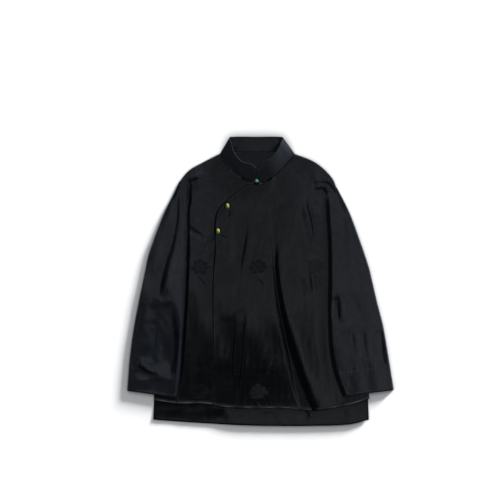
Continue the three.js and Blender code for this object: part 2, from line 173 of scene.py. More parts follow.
frontCreases = [
    # the long fold
    crease((31, 610, 9, -0.2), (29, 523, 9, -0.5), (31, 467, 8, -0.9), (34, 420, 6, -1.5),
           (35, 381, 5, -2.6), (40, 332, 5.5, -4.2), (48, 280, 6.5, -5.4), (63, 210, 8.5, -6.6),
           (79, 148, 10, -7.2), (91, 102, 11, -7.4), (109, 50, 12, -7), (138, -30, 12, -7),
           lip=0.55, fall=0.9, runOut=3.3),
    crease((-29, 515, 6, -0.2), (-36, 452, 5, -1.1), (-43, 413, 5, -1.3), (-48, 376, 5, -0.6),
           (-57, 290, 6, -0.2), lip=0.2),
    crease((-61, 285, 4, -0.1), (-62, 246, 4, -1.0), (-65, 210, 4.5, -1.5), (-69, 148, 6, -1.8),
           (-73, 102, 7, -1.9), (-82, 50, 8, -1.9), (-90, 0, 9, -1.9), lip=0.12, fall=8),
    crease((-36, 305, 4, -0.1), (-38, 262, 4, -0.9), (-41, 229, 4, -1.3), (-44, 173, 4.5, -1.7),
           (-49, 133, 6, -2.0), (-55, 87, 7.5, -2.2), (-62, 48, 8, -2.2), (-68, 0, 8, -2.2),
           lip=0.12, fall=8),
    crease((114, 566, 2.5, -0.5), (116, 536, 2.5, -1.1), (123, 506, 2.5, -1.3), (129, 472, 3, -0.9),
           (132, 448, 3, -0.2), lip=0.4),
    crease((117, 455, 5, -0.4), (120, 383, 5, -0.9), (124, 345, 4, -1.7), (127, 315, 4, -0.4),
           lip=0.2),
    crease((-136, 458, 7, -0.3), (-154, 467, 7, -1.2), (-172, 478, 8, -1.7), (-192, 488, 8, -1.7),
           lip=0, fall=1),
    crease((152, 345, 14, -0.3), (150, 240, 15, -1.4), (154, 150, 14, -1.8), (162, 60, 12, -0.8),
           lip=0.3),
    crease((-158, 335, 14, -0.3), (-165, 230, 15, -1), (-165, 150, 14, -1.4), (-169, 40, 12, -0.6),
           lip=0.3),
]
sleeveCreases = [
    crease((-199, 590, 2.5, -0.6), (-201, 548, 3, -1.4), (-202, 515, 4, -2), (-207, 476, 6, -2.2),
           (-214, 442, 6, -2.3), (-229, 393, 6, -1.9), (-240, 346, 6, -2.6), (-246, 308, 6, -1.2),
           lip=0.5),
    crease((-216, 312, 10, -0.5), (-210, 250, 10, -2.6), (-206, 197, 10, -3.4),
           (-211, 150, 10, -3.2), (-218, 112, 9, -0.8), lip=0.4),
    crease((-250, 262, 5, -0.1), (-254, 225, 6, -0.9), (-262, 170, 6, -0.9), (-266, 150, 6, -0.1),
           lip=0.3),
    crease((-302, 150, 4, -0.3), (-288, 140, 4, -1.6), (-271, 130, 4, -1.6), (-248, 126, 5, -0.3),
           lip=0.5),
    crease((-240, 118, 14, -0.2), (-238, 98, 16, -1.2), (-236, 76, 14, -0.4), lip=0.2),
    crease((192, 318, 4, -0.1), (192, 300, 4, -1.5), (192, 275, 4, -1.9), (193, 252, 4, -0.1),
           lip=0.3),
    crease((296, 240, 5, -0.1), (298, 215, 5, -1.3), (301, 180, 5, -1.7), (303, 145, 5, -0.1),
           lip=0.3),
    crease((226, 235, 5, -0.1), (229, 200, 5, -0.7), (232, 160, 5, -0.1), lip=0.3),
    crease((252, 245, 6, -0.1), (256, 205, 6, -0.8), (260, 160, 6, -0.1), lip=0.3),
    crease((276, 230, 5, -0.1), (280, 195, 5, -0.7), (284, 158, 5, -0.1), lip=0.3),
    crease((205, 545, 8, -0.1), (207, 500, 8, -0.8), (210, 440, 9, -0.7), (214, 380, 9, -0.1),
           lip=0.3),
    crease((238, 330, 12, -0.1), (242, 290, 12, -0.7), (250, 250, 12, -0.1), lip=0.3),
]
backCreases = [
    crease((118, 42, 3, 0), (118, 30, 3, -1.6), (118, 20, 2.5, -1.2), (118, 10, 2, 0), lip=0.4),
    crease((-90, 44, 6, 0), (-88, 26, 7, -0.9), (-86, 8, 7, -0.6), lip=0.3),
    crease((35, 40, 5, 0), (36, 24, 6, -0.7), (37, 6, 6, -0.5), lip=0.3),
    crease((212, 44, 6, 0), (211, 26, 7, -0.8), (210, 8, 7, -0.6), lip=0.3),
    crease((-190, 40, 7, 0), (-188, 24, 8, -0.6), (-186, 10, 8, -0.4), lip=0.3),
]

creaseForm = {    # lengths in half widths of the crease
    "ends": 0.12,           # share of the walk over which a crease starts and ends
    "shift": 0.85,
    "crestAt": 2.4,
    "crestWidth": 1.5,
    "margin": 14,           # nothing is raised or lowered farther away than this
}


def creaseHeight(creases, x, y):
    form = creaseForm
    total = np.zeros(x.shape)
    for points, lip, fall, runOut in creases:
        run = curveThrough(points, 80)
        margin = form["margin"] * run[:, 2].max()
        low = run[:, :2].min(axis=0) - margin
        high = run[:, :2].max(axis=0) + margin
        near = (x > low[0]) & (x < high[0]) & (y > low[1]) & (y < high[1])
        if not near.any():
            continue
        d, along, side = nearest(run[:, :2], x[near], y[near])
        steps = np.linspace(0, 1, len(run))
        width = np.interp(along, steps, run[:, 2])
        depth = np.interp(along, steps, run[:, 3])
        depth = depth * smooth(along / form["ends"]) * smooth((1 - along) / form["ends"])
        s = d * side + form["shift"] * (1 - 1 / fall) * width
        valley = np.where(s < 0, np.exp(-np.abs(s / (fall * width)) ** 3), np.exp(-(s / width) ** 2))
        out = s - form["crestAt"] * width
        crest = np.exp(-(out / (np.where(out < 0, form["crestWidth"], runOut) * width)) ** 2)
        total[near] += depth * (valley - lip * crest)
    return total


# Levels of the layers, in millimetres.
layers = {
    "satin": 1.0,
    "room": 0.3,            # between two pieces
    "offTable": 0.02,
    "lapLift": 0.95,        # how far the lap under it lifts the left front
    "lapReach": 34,
    "lapFade": 18,
}
oneLayer = layers["satin"] + layers["room"]
relief = {
    "puff": 4.6,            # how far the fronts stand off the back
    "bankRight": 8, "bankLeft": 75,    # width of the bank beside each sleeve
    "neckFade": 85, "shoulderFade": 60,
    "neckRest": 3, "leftRest": 2.0,    # how far from the collar and the left sleeve the rise starts
    "edgeRun": 9,           # from there, how soon creases reach their depth
    "belly": 4.0,
    "bellyX": 20, "bellyY": 250, "bellyWidth": 150, "bellyLength": 110,
    "openingShare": 0.5,    # of the rise is left at the opening
    "openingFade": 90,
    "hemShare": 0.16,
    "hemFade": 125,         # how far above the hem the fronts start to come down
    "swell": 0.7,           # soft uneven swells all over
    "swellSize": 70,
    "crumple": 0.18,
    "crumpleSize": 17,
    # how far from the right sleeve the rise starts, and by how much more it does so up the armhole
    "rightRest": 2.0,
    "armholeRest": 5.0, "armholeFrom": 520, "armholeRun": 40,
    "shoulderRest": 4.0, "shoulderFrom": 565, "shoulderRun": 25,
}

openingLine = curveThrough(opening, 24)
seamLine = curveThrough(frontSeam, 24)
openingAndSeam = chain(openingLine, seamLine)
innerRight = chain(curveThrough(sleeveShapes["sleeve_right"]["innerTop"], 16),
                   curveThrough(sleeveShapes["sleeve_right"]["innerLow"], 24))
innerLeft = chain(curveThrough(sleeveShapes["sleeve_left"]["innerTop"], 16),
                  curveThrough(sleeveShapes["sleeve_left"]["innerLow"], 24))
hemLine = chain(curveThrough(hemRight, 12), curveThrough(hemLeft, 30))


# Each bank up to a sleeve's head: its path, the side of the walk that stands higher, its rise, and its width
# at both ends.
shoulderBanks = [
    ([(-132, 612), (-146, 609), (-161, 604.5), (-172, 597), (-177, 585), (-179, 565), (-179, 545)],
     -1, 3.2, (11, 5)),
    ([(126, 570), (138, 578.5), (149, 582), (158, 578), (162.5, 568), (164.5, 555), (166, 535)],
     1, 2.5, (10, 4)),
    ([(124, 590), (135, 595), (150, 597), (164, 595), (174, 587), (180, 576)],
     1, 1.3, (7, 6)),
]
bankForm = {"softness": 0.3, "start": 0.3, "from": 520, "run": 60, "edge": 1.2}


def sleeveHead(x, y):
    # the shoulder rises over the start of each sleeve, so that the cloth runs on into it
    form = bankForm
    total = np.zeros(x.shape)
    for path, raised, rise, width in shoulderBanks:
        edge = curveThrough(shoulderRight if path[0][0] < 0 else shoulderLeft, 60)
        d, along, side = nearest(curveThrough(path, 160), x, y)
        ramp = np.clip(0.5 + d * side * raised / mixed(*width, along), 0, 1)
        bank = mixed(ramp, smooth(ramp), form["softness"]) * smooth(along / form["start"])
        upper = smooth((y - form["from"]) / form["run"])
        total += rise * bank * upper * smooth(nearest(edge, x, y)[0] / form["edge"])
    return total


def isLeft(x, y):
    return x > xAt(openingAndSeam, y)


def softFloor(height, give=0.35):
    # never below nought, with a soft landing
    return give * np.logaddexp(0, height / give)


def frontRelief(x, y):
    free = np.ones(x.shape)
    edges = np.ones(x.shape)
    byArmhole = smooth((y - relief["armholeFrom"]) / relief["armholeRun"])
    byShoulder = smooth((y - relief["shoulderFrom"]) / relief["shoulderRun"])
    restRight = (relief["rightRest"] + relief["armholeRest"] * byArmhole
                 + relief["shoulderRest"] * byShoulder)
    for line, rest, fade in (
        (curveThrough(neckRight, 60), relief["neckRest"], relief["neckFade"]),
        (curveThrough(neckLeft, 60), relief["neckRest"], relief["neckFade"]),
        (curveThrough(shoulderRight, 60), 0, relief["shoulderFade"]),
        (curveThrough(shoulderLeft, 60), 0, relief["shoulderFade"]),
        (innerRight, restRight, relief["bankRight"]),
        (innerLeft, relief["leftRest"], relief["bankLeft"]),
    ):
        d = nearest(line, x, y)[0] - rest
        free *= smooth(d / fade)
        edges *= smooth(d / relief["edgeRun"])
    below = y < innerRight[0][1]
    covered = below & ((x < xAt(innerRight, y)) | (x > xAt(innerLeft, y)))
    toHem = nearest(hemLine, x, y)[0]
    toOpening = nearest(openingLine, x, y)[0]
    nearHem = mixed(relief["hemShare"], 1, smooth(toHem / relief["hemFade"]))
    nearOpening = mixed(relief["openingShare"], 1, smooth(toOpening / relief["openingFade"]))
    swell = relief["swell"] * waves(x, y * 0.6, relief["swellSize"], 3) * smooth(toHem / relief["hemFade"])
    bellyUp = (y - relief["bellyY"]) / relief["bellyLength"]
    bellyAcross = (x - relief["bellyX"]) / relief["bellyWidth"]
    belly = relief["belly"] * np.exp(-bellyUp ** 2 - bellyAcross ** 2)
    height = free * nearOpening * nearHem * (relief["puff"] + belly + swell)
    crumple = relief["crumple"] * waves(x, y * 0.5, relief["crumpleSize"], 8)
    height += edges * (creaseHeight(frontCreases, x, y) + crumple)
    return np.where(covered, 0, np.minimum(edges * 4, 1) * softFloor(height))


def lapLift(x, y):
    reach = (nearest(openingLine, x, y)[0] - layers["lapReach"]) / layers["lapFade"]
    return layers["lapLift"] * (1 - smooth(reach))


collarDitch = {"height": 0.8, "foot": 3.5, "climb": 3.5, "fadeFrom": 14, "fade": 60}


def besideCollar(x, y):
    # the cloth dips to the neck seam in the last few millimetres
    toRight = nearest(curveThrough(neckRight, 60), x, y)[0]
    toLeft = nearest(curveThrough(neckLeft, 60), x, y)[0]
    d = np.minimum(toRight, toLeft)
    rise = smooth((d - collarDitch["foot"]) / collarDitch["climb"])
    return collarDitch["height"] * rise * (1 - smooth((d - collarDitch["fadeFrom"]) / collarDitch["fade"]))


hemFacts = {
    "edge": 0.8,
    "facet": 3.8,           # width of the raised edge
    "rise": 2.6,
    "uneven": 0.3,
    "stitchesAt": 17,       # from the edge to the line of stitches
    "stitchDip": 0.2,
    "stitchWidth": 1.6,
    "pucker": 0.05,
    "puckerReach": 6,
}


def hemRoll(x, y, line, share=1.0):
    # the turned hem: a narrow raised edge of uneven height, and a shallow line of stitches above it
    facts = hemFacts
    d = nearest(line, x, y)[0]
    uneven = 1.0 + facts["uneven"] * waves(x, 0 * y, 34, 44)
    facet = 1 - np.clip((d - facts["edge"]) / facts["facet"], 0, 1)
    above = d - facts["stitchesAt"]
    gathers = np.sin(x / 1.9 + 2 * np.sin(x / 23))
    pucker = facts["pucker"] * gathers * np.exp(-(above / facts["puckerReach"]) ** 2)
    stitches = facts["stitchDip"] * np.exp(-(above / facts["stitchWidth"]) ** 2)
    return share * facts["rise"] * uneven * facet - stitches + pucker


seamRidge = {"height": 0.45, "leftWidth": 2.0, "rightWidth": 9.0}


def seamPinch(x, y):
    # the seam below the opening stands up a little, steeper on the left front
    facts = seamRidge
    d = nearest(seamLine, x, y)[0]
    left = 1 - np.clip(d / facts["leftWidth"], 0, 1)
    right = np.exp(-(d / facts["rightWidth"]) ** 2)
    return facts["height"] * np.where(isLeft(x, y), left, right)


openingRoll = {
    "lip": 0.2, "lipAt": 2,
    "height": 0.4, "width": 2.2, "fade": 7,
    "from": 450, "fromRun": 25,
    "to": 515, "toRun": 20,
}


def frontLeftLevel(x, y):
    # the free edge rolls down to the other front, most of all between the two lower beads
    facts = openingRoll
    d = nearest(openingLine, x, y)[0]
    above = smooth((y - facts["from"]) / facts["fromRun"])
    between = above * (1 - smooth((y - facts["to"]) / facts["toRun"]))
    edge = facts["lip"] * np.exp(-((d - facts["lipAt"]) / 2) ** 2)
    beyond = np.maximum(d - facts["width"], 0)
    edge += facts["height"] * between * smooth(d / facts["width"]) * np.exp(-(beyond / facts["fade"]) ** 2)
    return (oneLayer + frontRelief(x, y) + lapLift(x, y) + edge + seamPinch(x, y) + sleeveHead(x, y)
            + besideCollar(x, y) + hemRoll(x, y, hemLine))


openingDip = {"depth": 1.15, "outside": 2.8, "inside": 5, "from": 440, "fade": 20}


def besideOpening(x, y):
    # the right front sinks in along the left front's edge, and comes up again under the lap
    facts = openingDip
    d = nearest(openingLine, x, y)[0]
    outside = 1 - np.clip(d / facts["outside"], 0, 1)
    inside = 1 - smooth(d / facts["inside"])
    share = np.where(isLeft(x, y), inside, outside)
    return facts["depth"] * share * smooth((y - facts["from"]) / facts["fade"])

# The lap lies flatter than the front over it.
lapForm = {"margin": 0.5, "run": 8, "from": 420, "sinks": 0.6}


def frontRightLevel(x, y):
    form = lapForm
    under = isLeft(x - form["margin"], y) * smooth(nearest(openingLine, x, y)[0] / form["run"])
    under = under * smooth((y - form["from"]) / form["run"])
    level = (oneLayer + frontRelief(x, y) * (1 - form["sinks"] * under) + seamPinch(x, y) + sleeveHead(x, y)
             + besideCollar(x, y) * (1 - under) + hemRoll(x, y, hemLine))
    return np.maximum(level - besideOpening(x, y), oneLayer)


hemBackLine = curveThrough(hemBack, 40)
# The back's hem lifts a little everywhere, and more towards the wearer's left.
hemCurl = {
    "height": 2.8, "from": -125, "fade": 70,
    "everywhere": 1.2,
    "above": 46, "run": 40,
    "rippleFrom": 58, "rippleRun": 22,
    "rollShare": 0.3, "rollFrom": 40, "rollRun": 20,
}


def backLevel(x, y):
    # flat under the fronts; the strip below them ripples a little, never into the table
    curl = hemCurl["height"] * smooth((x - hemCurl["from"]) / hemCurl["fade"]) + hemCurl["everywhere"]
    curl *= np.clip((hemCurl["above"] - y) / hemCurl["run"], 0, 1)
    ripple = 0.5 + 0.5 * waves(x, y * 0.2, 46, 12) + creaseHeight(backCreases, x, y)
    low = smooth((hemCurl["rippleFrom"] - y) / hemCurl["rippleRun"])
    roll = hemRoll(x, y, hemBackLine, hemCurl["rollShare"])
    roll = roll * smooth((hemCurl["rollFrom"] - y) / hemCurl["rollRun"])
    return np.maximum(0, curl + low * ripple) + roll + layers["offTable"]


collection = bpy.context.scene.collection


def gridMesh(name, across, down):
    bm = bmesh.new()
    bmesh.ops.create_grid(bm, x_segments=across, y_segments=down, size=0.5)
    mesh = bpy.data.meshes.new(name)
    bm.to_mesh(mesh)
    bm.free()
    flat = np.empty(len(mesh.vertices) * 3)
    mesh.vertices.foreach_get("co", flat)
    flat = flat.reshape(-1, 3)
    column = np.rint((flat[:, 0] + 0.5) * across).astype(int)
    row = np.rint((0.5 - flat[:, 1]) * down).astype(int)
    return mesh, row, column


def mapCut(mesh, sheet, row, column):
    # the piece's own cut as a map in metres, measured across from its middle and down from its top
    rows, columns = sheet.shape[:2]
    across = np.linalg.norm(np.diff(sheet, axis=1), axis=2)
    acrossAt = np.concatenate([np.zeros((rows, 1)), np.cumsum(across, axis=1)], axis=1)
    acrossAt -= acrossAt[:, -1:] / 2
    down = np.linalg.norm(np.diff(sheet[:, columns // 2], axis=0), axis=1)
    downAt = np.concatenate([[0], np.cumsum(down)])
    cut = np.stack([acrossAt[row, column], -downAt[row]], axis=1) * mm
    layer = mesh.uv_layers.new(name="cut")
    corner = np.empty(len(mesh.loops), int)
    mesh.loops.foreach_get("vertex_index", corner)
    layer.data.foreach_set("uv", cut[corner].ravel())


def placeGrid(name, sheet, wall):
    # a cloth piece from rows and columns of points in table millimetres
    rows, columns = sheet.shape[:2]
    mesh, row, column = gridMesh(name, columns - 1, rows - 1)
    points = sheet[row, column] * mm
    points[:, 0] += tableX
    points[:, 1] += tableY
    mesh.vertices.foreach_set("co", points.ravel())
    mapCut(mesh, sheet, row, column)
    mesh.polygons.foreach_set("use_smooth", np.ones(len(mesh.polygons), bool))
    mesh.update()
    piece = bpy.data.objects.new(name, mesh)
    collection.objects.link(piece)
    shell = piece.modifiers.new("wall", "SOLIDIFY")
    shell.thickness = wall * mm
    shell.offset = 0
    shell.use_even_offset = False
    return piece


panelPull = {"hem": 6, "top": 12}    # the higher, the closer to its edge a drawn hem or top takes hold


def panelSheet(leftEdge, rightEdge, columns, level, hem, top=None, crowding=0.0):
    # lofted between two long edges, its hem and top drawn to their own curves
    count = len(leftEdge) - 1
    u = np.linspace(0, 1, columns + 1)[None, :, None]
    # closer columns on the right, or on the left where the crowding is negative
    u = u + crowding * np.sin(math.pi * u)
    v = np.linspace(0, 1, count + 1)[:, None, None]
    plan = mixed(leftEdge[:, None], rightEdge[:, None], u)
    hemPoints = curveThrough(hem, 4 * columns)
    hemPoints = np.stack([np.interp(u[0, :, 0], np.linspace(0, 1, len(hemPoints)), hemPoints[:, i])
                          for i in range(2)], axis=1)
    toHem = hemPoints - mixed(leftEdge[-1], rightEdge[-1], u[0])
    plan = plan + toHem[None] * v ** panelPull["hem"]
    if top is not None:
        topPoints = curveThrough(top, columns)
        toTop = topPoints - mixed(leftEdge[0], rightEdge[0], u[0])
        plan = plan + toTop[None] * (1 - v) ** panelPull["top"]
    x, y = plan[..., 0], plan[..., 1]
    z = level(x, y) + layers["satin"] / 2
    return np.stack([x, y, z], axis=2)


clothPieces = {
    "wall": 0.8,
    "frontLeftColumns": 210,
    "frontRightColumns": 120,
    "crowding": 0.13,       # how much closer the columns stand towards the sleeves
    "seamGap": 0.3,         # between the two fronts at their seam
    "backColumns": 130,
}


def edgeThrough(counts, *parts):
    return chain(*[curveThrough(part, count) for part, count in zip(parts, counts)])


backRows = (24, 40, 90)
frontRows = (shoulderRows, armholeRows, sideRows)
backSheet = panelSheet(
    edgeThrough(backRows, shoulderRight, armholeRight, sideBackRight),
    edgeThrough(backRows, shoulderLeft, armholeLeft, sideBackLeft),
    clothPieces["backColumns"], backLevel, hemBack, neckBack)
back = placeGrid("backPanel", backSheet, clothPieces["wall"])

rightSeam = [(x - clothPieces["seamGap"], y) for x, y in frontSeam]
frontRightSheet = panelSheet(
    edgeThrough(frontRows, shoulderRight, armholeRight, sideRight),
    edgeThrough(frontRows, neckRight, lapEdge, rightSeam),
    clothPieces["frontRightColumns"], frontRightLevel, hemRight, crowding=-clothPieces["crowding"])
frontRight = placeGrid("rightFront", frontRightSheet, clothPieces["wall"])

frontLeftSheet = panelSheet(
    edgeThrough(frontRows, neckLeft, opening, frontSeam),
    edgeThrough(frontRows, shoulderLeft, armholeLeft, sideLeft),
    clothPieces["frontLeftColumns"], frontLeftLevel, hemLeft, crowding=clothPieces["crowding"])
frontLeft = placeGrid("leftFront", frontLeftSheet, clothPieces["wall"])
print("body panels cut")

# Each sleeve is one sheet: under itself to the inner fold, over the top, and under again.
sleeveFacts = {
    "puff": 5.0,
    "headShare": 0.4, "headRun": 8,    # a sleeve's head starts low, under the shoulder
    "outerHead": 60, "headBlend": 25,
    "fullWidth": 80,        # where a sleeve is narrower than this, it stands lower
    "innerSlope": 42, "innerRound": 0.8,
    "innerFrom": 190, "innerRun": 160,
    "outerBank": 4, "outerRound": 0.6,
    "settleFrom": 0.75,     # share of the width at which the top starts down to the outer fold
    "crowding": 0.12,       # how much closer the columns stand towards both folds
    "bodyShare": 0.4,       # where between both folds the body's side is looked up
    "climbFrom": (16, 0.5), "climbTo": (6, 0.8),    # up the body's side: millimetres before it, or a share
    "seamGap": 0.2, "headGap": 0.5,
    "underPoints": 10, "turnPoints": 7, "topPoints": 110, "lowPoints": 22,
    "cuffHem": 60,          # depth of the turned-up cuff hem
    "stitchDip": 0.2, "stitchWidth": 1.8,
    "pucker": 0.10, "puckerAbove": 13, "puckerBelow": 8,
    "doubled": 0.3, "doubledRun": 2.5,
    "edgeRise": 0.4, "edgeAt": 2, "edgeWidth": 2.2,
    "swell": 0.6, "crumple": 0.10,
}


def sleeveTopRelief(x, y, toCuff):
    facts = sleeveFacts
    stitch = toCuff - facts["cuffHem"]
    dip = -facts["stitchDip"] * np.exp(-(stitch / facts["stitchWidth"]) ** 2)
    ripple = np.sin(x / 1.75 + 1.6 * np.sin(x / 11)) + 0.7 * np.sin(x / 3.4 + 2)
    reach = np.where(stitch > 0, facts["puckerAbove"], facts["puckerBelow"])
    pucker = facts["pucker"] * ripple * np.exp(-(stitch / reach) ** 2)
    doubled = facts["doubled"] * smooth(-stitch / facts["doubledRun"])
    edge = facts["edgeRise"] * np.exp(-((toCuff - facts["edgeAt"]) / facts["edgeWidth"]) ** 2)
    swell = facts["swell"] * waves(x * 1.3, y * 0.5, 60, 21)
    swell = swell + facts["crumple"] * waves(x, y * 0.35, 12, 5)
    return creaseHeight(sleeveCreases, x, y) + dip + pucker + doubled + edge + swell


foldRadius = oneLayer / 2
edgeRadius = oneLayer
lowLevel = layers["satin"] / 2 + layers["offTable"]
foldLevel = 2 * oneLayer + layers["satin"] / 2
topLevel = foldLevel + oneLayer
edgeLevel = lowLevel + 2 * edgeRadius


def sleeveOutline(shape):
    # for each row down the sleeve: its outer fold, the way across it, its width, and how far from the outer
    # fold the seam and the body's side lie
    sleeveRows = (armholeRows, cuffRows)
    outer = edgeThrough(sleeveRows, shape["outerTop"], shape["outerLow"])
    inner = edgeThrough(sleeveRows, shape["innerTop"], shape["innerLow"])
    seam = edgeThrough(sleeveRows, shape["armhole"], shape["underarm"])
    side = edgeThrough((40, 40), shape["armhole"], shape["side"])
    width = np.linalg.norm(inner - outer, axis=1)
    across = (inner - outer) / width[:, None]
    reach = ((seam - outer) * across).sum(axis=1)
    low = np.arange(len(outer)) >= armholeRows
    sideAt = xAt(side, mixed(outer[:, 1], inner[:, 1], sleeveFacts["bodyShare"]))
    bodyEdge = np.where(low, (sideAt - outer[:, 0]) / across[:, 0], reach)
    return outer, across, width, reach, bodyEdge


def foldTurn(start, stop):
    return np.linspace(start, stop, sleeveFacts["turnPoints"] + 2)[1:-1]


def sleeveTop(shape, outer, across, width, toHead):
    # from the inner fold over to the outer one
    facts = sleeveFacts
    toCuff = toHead[-1] - toHead
    runs = []
    for g in np.linspace(0, 1, facts["topPoints"]):
        f = g - facts["crowding"] * math.sin(2 * math.pi * g)
        distance = mixed(width - foldRadius, edgeRadius, f)
        plan = outer + across * distance[:, None]
        settled = smooth((f - facts["settleFrom"]) / (1 - facts["settleFrom"]))
        settle = mixed(topLevel, edgeLevel, settled)
        fromInner = width - foldRadius - distance
        headRoom = mixed(smooth(toHead / shape["innerHead"]), smooth(toHead / facts["outerHead"]),
                         smooth(fromInner / facts["headBlend"]))
        room = np.minimum(1, width / facts["fullWidth"]) * headRoom
        innerBank = smooth(fromInner / shape["innerBank"]) ** facts["innerRound"]
        outerBank = smooth(distance / facts["outerBank"]) ** facts["outerRound"]
        lower = smooth((toHead - facts["innerFrom"]) / facts["innerRun"])
        innerHeight = mixed(*shape["innerHeight"], lower)
        puff = mixed(innerHeight, facts["puff"], smooth(fromInner / facts["innerSlope"]))
        height = settle + room * innerBank * outerBank * np.maximum(
            0, puff + sleeveTopRelief(plan[:, 0], plan[:, 1], toCuff))
        runs.append((distance, height))
    return runs


def sleeveUnderside(reach, bodyEdge):
    # from the outer fold along the table, and up the body's side to the seam
    facts = sleeveFacts
    rows = np.arange(len(reach))
    climb = smooth((rows - armholeRows + fine) / fine)
    foot = np.maximum(bodyEdge - facts["climbFrom"][0], bodyEdge * facts["climbFrom"][1])
    head = np.maximum(bodyEdge - facts["climbTo"][0], bodyEdge * facts["climbTo"][1])
    end = reach - np.where(rows >= armholeRows, facts["seamGap"], facts["headGap"])
    runs = []
    for f in np.linspace(0, 1, facts["lowPoints"]):
        distance = mixed(edgeRadius, end, f)
        lift = climb * smooth((distance - foot) / np.maximum(head - foot, 0.5))
        runs.append((distance, mixed(lowLevel, foldLevel, lift)))
    return runs


def sleeveSheet(shape):
    facts = sleeveFacts
    outer, across, width, reach, bodyEdge = sleeveOutline(shape)
    count = len(outer)
    toHead = np.concatenate([[0], np.cumsum(np.linalg.norm(np.diff(outer, axis=0), axis=1))])
    # each column of the sheet is a run of (distance from the outer fold, height) down the sleeve
    runs = []
    for f in np.linspace(0, 1, facts["underPoints"]):
        runs.append((mixed(reach + facts["seamGap"], width - foldRadius, f), np.full(count, foldLevel)))
    for turn in foldTurn(-math.pi / 2, math.pi / 2):
        runs.append((width - foldRadius + foldRadius * math.cos(turn),
                     np.full(count, foldLevel + foldRadius * (1 + math.sin(turn)))))
    runs += sleeveTop(shape, outer, across, width, toHead)
    for turn in foldTurn(math.pi / 2, -math.pi / 2):
        runs.append((edgeRadius - edgeRadius * math.cos(turn),
                     np.full(count, lowLevel + edgeRadius * (1 + math.sin(turn)))))
    runs += sleeveUnderside(reach, bodyEdge)
    columns = []
    headTaper = mixed(facts["headShare"], 1, smooth(toHead / facts["headRun"]))
    for distance, height in runs:
        plan = outer + across * (np.ones(count) * distance)[:, None]
        height = lowLevel + (height - lowLevel) * headTaper
        columns.append(np.column_stack([plan, height]))
    return np.stack(columns, axis=1)


sleeveNames = {"sleeve_right": "rightSleeve", "sleeve_left": "leftSleeve"}
sleeves = {}
for node, shape in sleeveShapes.items():
    sleeves[node] = placeGrid(sleeveNames[node], sleeveSheet(shape), clothPieces["wall"])
print("sleeves folded")

# Stations of the collar, from the right end round the back to the left end: foot x y z, top x y z, bow.
collarStations = [
    (-12.5, 599, 3.5, -12.5, 630, 24, 1),
    (-30, 603, 3.5, -26, 640, 26, 1.5),
    (-48, 611, 3.5, -42, 643, 27, 2),
    (-66, 624, 3.5, -56, 655, 27, 2),
    (-82, 642, 3.5, -66, 672, 26, 2),
    (-93, 658, 3.5, -71, 690, 24, 2),
    (-98, 666, 3.2, -75, 704, 18, 1),
    (-86, 669, 2.4, -66, 706, 15, 0),
    (-8, 671, 2.4, -9, 706, 15, 0),
    (70, 669, 2.4, 45, 706, 15, 0),
    (82, 666, 3.2, 54, 704, 18, 1),
    (77, 658, 3.5, 50, 693, 24, 2),
    (66, 645, 3.5, 44, 680, 26, 2),
    (50, 628, 3.5, 34, 664, 27, 2),
    (33, 612, 4.1, 20, 651, 27, 2),
    (14, 602, 4.9, 3, 641, 26, 1.5),
    (-8.5, 599, 5, -8, 625, 23, 1),
]
collarFacts = {
    "columns": 190, "rows": 16,
    "wall": 1.8,
    "uneven": 0.35,
    "rounding": 0.55, "roundingSegments": 3,
    "sharpFrom": 50,        # only edges that turn by more than this, in degrees, are rounded
}


def stationCurve(columns, count):
    # the same pace as the solid: station by station, not by length
    p = np.array([[station[c] for c in columns] for station in collarStations])
    walk = np.vstack(stretchesThrough(p, 12, endpoint=False) + [p[-1:]])
    return sampled(walk, np.linspace(0, 1, len(walk)), np.linspace(0, 1, count + 1))


foot = stationCurve((0, 1, 2), collarFacts["columns"])
rim = stationCurve((3, 4, 5), collarFacts["columns"])
bow = stationCurve((6,), collarFacts["columns"])[:, 0]
up = np.linspace(0, 1, collarFacts["rows"] + 1)[:, None]
collarSheet = mixed(foot[None], rim[None], up[:, :, None])
collarSheet[..., 2] += bow[None] * np.sin(math.pi * up)
unevenBand = collarFacts["uneven"] * waves(collarSheet[..., 0], collarSheet[..., 1] * 0.7, 34, 31)
collarSheet[..., 2] += unevenBand * np.sin(math.pi * up)
collar = placeGrid("collarBand", collarSheet, collarFacts["wall"])
rounding = collar.modifiers.new("soft edges", "BEVEL")
rounding.width = collarFacts["rounding"] * mm
rounding.segments = collarFacts["roundingSegments"]
rounding.angle_limit = math.radians(collarFacts["sharpFrom"])
print("collar set")


class Wire:
    # an output socket that Python's operators work on
    def __init__(self, socket):
        self.socket = socket

    @staticmethod
    def make(tree, kind, settings=None, inputs=None, out=0):
        node = tree.nodes.new(kind)
        for name, value in (settings or {}).items():
            setattr(node, name, value)
        for name, value in (inputs or {}).items():
            if isinstance(value, Wire):
                tree.links.new(value.socket, node.inputs[name])
            else:
                node.inputs[name].default_value = value
        return Wire(node.outputs[out])

    def sum(self, operation, *others, swapped=False):
        values = [self, *others][::-1] if swapped else [self, *others]
        return Wire.make(self.socket.id_data, "ShaderNodeMath", {"operation": operation},
                         dict(enumerate(values)))

    def __add__(self, other):
        return self.sum("ADD", other)

    def __sub__(self, other):
        return self.sum("SUBTRACT", other)

    def __rsub__(self, other):
        return self.sum("SUBTRACT", other, swapped=True)

    def __mul__(self, other):
        return self.sum("MULTIPLY", other)

    def __truediv__(self, other):
        return self.sum("DIVIDE", other)

    def __pow__(self, other):
        return self.sum("POWER", other)

    __radd__, __rmul__ = __add__, __mul__

    def rise(self, start, stop, low=0.0, high=1.0):
        # a soft step from low to high as the value goes from start to stop
        return Wire.make(self.socket.id_data, "ShaderNodeMapRange", {"interpolation_type": "SMOOTHSTEP"},
                         {"Value": self, "From Min": start, "From Max": stop, "To Min": low, "To Max": high})


